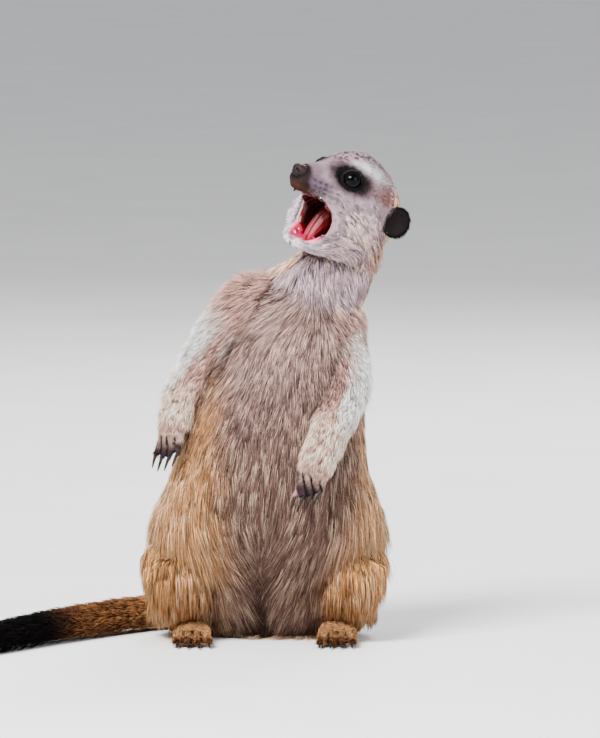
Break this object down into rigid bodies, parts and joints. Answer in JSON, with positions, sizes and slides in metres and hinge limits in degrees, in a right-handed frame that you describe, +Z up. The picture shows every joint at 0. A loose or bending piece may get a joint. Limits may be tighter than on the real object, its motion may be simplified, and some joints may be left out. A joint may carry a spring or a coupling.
{
  "type": "meerkat",
  "caption": "Life-size still meerkat sitting upright on its haunches, head turned aside with the mouth wide open, arms hanging and tail laid along the ground.",
  "frame": {"origin": "centre of the bounding box in plan, on the ground that the animal sits on", "axes": "+Z up; -Y the way that the chest faces; +X the animal's own left"},
  "size_m": [0.242, 0.164, 0.2658],
  "materials": {
    "coat": "short grizzled fur",
    "dark_fur": "short dark fur",
    "nose_leather": "moist, pebbled",
    "mouth": "wet",
    "eye": "clear gloss",
    "claw": "satin horn"
  },
  "bodies": {
    "root": {"head": "coat", "jaw": "coat", "neck": "coat", "chest": "coat", "belly": "coat", "upper_arm_L": "coat", "upper_arm_R": "coat", "forearm_L": "coat", "forearm_R": "coat", "hand_L": "coat", "hand_R": "coat", "thigh_L": "coat", "thigh_R": "coat", "shank_L": "coat", "shank_R": "coat", "foot_L": "coat", "foot_R": "coat", "tail_1": "coat", "tail_2": "coat", "tail_3": "coat", "tail_4": "dark_fur", "ear_L": "dark_fur", "ear_R": "dark_fur", "nose": "nose_leather", "tongue": "mouth", "eye_L": "eye", "eye_R": "eye", "claw_hand_L_1": "claw", "claw_hand_L_2": "claw", "claw_hand_L_3": "claw", "claw_hand_L_4": "claw", "claw_hand_R_1": "claw", "claw_hand_R_2": "claw", "claw_hand_R_3": "claw", "claw_hand_R_4": "claw", "claw_foot_L_1": "claw", "claw_foot_L_2": "claw", "claw_foot_L_3": "claw", "claw_foot_L_4": "claw", "claw_foot_R_1": "claw", "claw_foot_R_2": "claw", "claw_foot_R_3": "claw", "claw_foot_R_4": "claw"}
  },
  "joints": []
}
